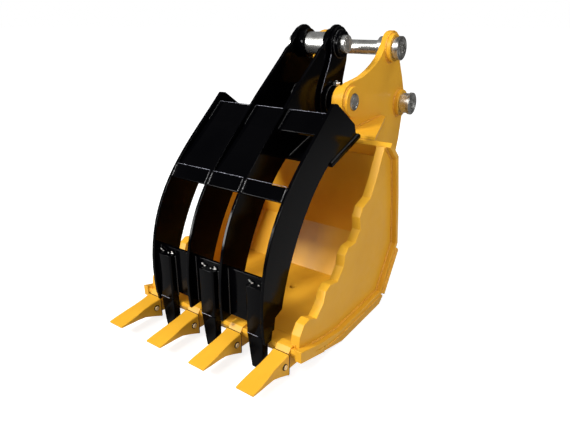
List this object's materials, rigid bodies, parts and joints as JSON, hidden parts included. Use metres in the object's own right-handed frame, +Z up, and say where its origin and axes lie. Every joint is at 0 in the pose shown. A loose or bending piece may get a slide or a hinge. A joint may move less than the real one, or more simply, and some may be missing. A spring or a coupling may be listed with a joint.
{
  "type": "excavator bucket thumb",
  "caption": "Digging bucket with scalloped sides and a hinged steel thumb of curved tines, carried on pin ears.",
  "frame": {"origin": "on the ground, in the middle of the width and of the length", "axes": "+Z up, the bucket's mouth and the thumb's tips face -Y, +X is the right hand side seen from the back"},
  "size_m": [0.756, 1.3479, 1.0737],
  "materials": {
    "yellow_paint": "semi-gloss paint",
    "black_paint": "gloss paint",
    "pin_steel": "turned and ground steel"
  },
  "bodies": {
    "bucket": {"floor_shell": "yellow_paint", "top_plate": "yellow_paint", "side_plate_left": "yellow_paint", "side_plate_right": "yellow_paint", "side_cutter_left": "yellow_paint", "side_cutter_right": "yellow_paint", "lip_plate": "yellow_paint", "corner_strip_left": "yellow_paint", "corner_strip_right": "yellow_paint", "floor_strips": "yellow_paint", "heel_guards": "yellow_paint", "adapter_1": "yellow_paint", "adapter_2": "yellow_paint", "adapter_3": "yellow_paint", "adapter_4": "yellow_paint", "tooth_1": "yellow_paint", "tooth_2": "yellow_paint", "tooth_3": "yellow_paint", "tooth_4": "yellow_paint", "tooth_pins": "pin_steel", "ear_left": "yellow_paint", "ear_right": "yellow_paint", "ear_web_left": "yellow_paint", "ear_web_right": "yellow_paint", "ear_cross_web": "yellow_paint", "stick_bosses": "yellow_paint", "link_bosses": "yellow_paint", "pivot_bosses": "yellow_paint", "stick_pin": "pin_steel", "link_pin": "pin_steel", "pivot_pin": "pin_steel", "stick_spacers": "pin_steel", "stick_collars": "pin_steel", "link_collars": "pin_steel", "stick_caps": "pin_steel", "link_caps": "pin_steel", "cap_bolts": "pin_steel"},
    "thumb": {"tine_outer_left": "black_paint", "tine_outer_right": "black_paint", "tine_inner_left": "black_paint", "tine_inner_right": "black_paint", "lug_doubler_left": "black_paint", "lug_doubler_right": "black_paint", "hub_tube": "black_paint", "lug_bosses": "black_paint", "cylinder_pin": "pin_steel", "cylinder_pin_caps": "pin_steel", "upper_cross_plates": "black_paint", "middle_cross_plates": "black_paint", "lower_cross_plates": "black_paint", "back_plate": "black_paint", "tip_socket_1": "black_paint", "tip_socket_2": "black_paint", "tip_socket_3": "black_paint", "tip_blade_1": "black_paint", "tip_blade_2": "black_paint", "tip_blade_3": "black_paint", "hub_grease_fittings": "pin_steel", "cylinder_pin_sleeve": "pin_steel"}
  },
  "joints": [
    {"name": "thumb_swing", "type": "hinge", "parent": "bucket", "child": "thumb", "pos_m": [0, 0.15, 0.798], "axis": [-1, 0, 0], "range_deg": [0, 75]}
  ]
}
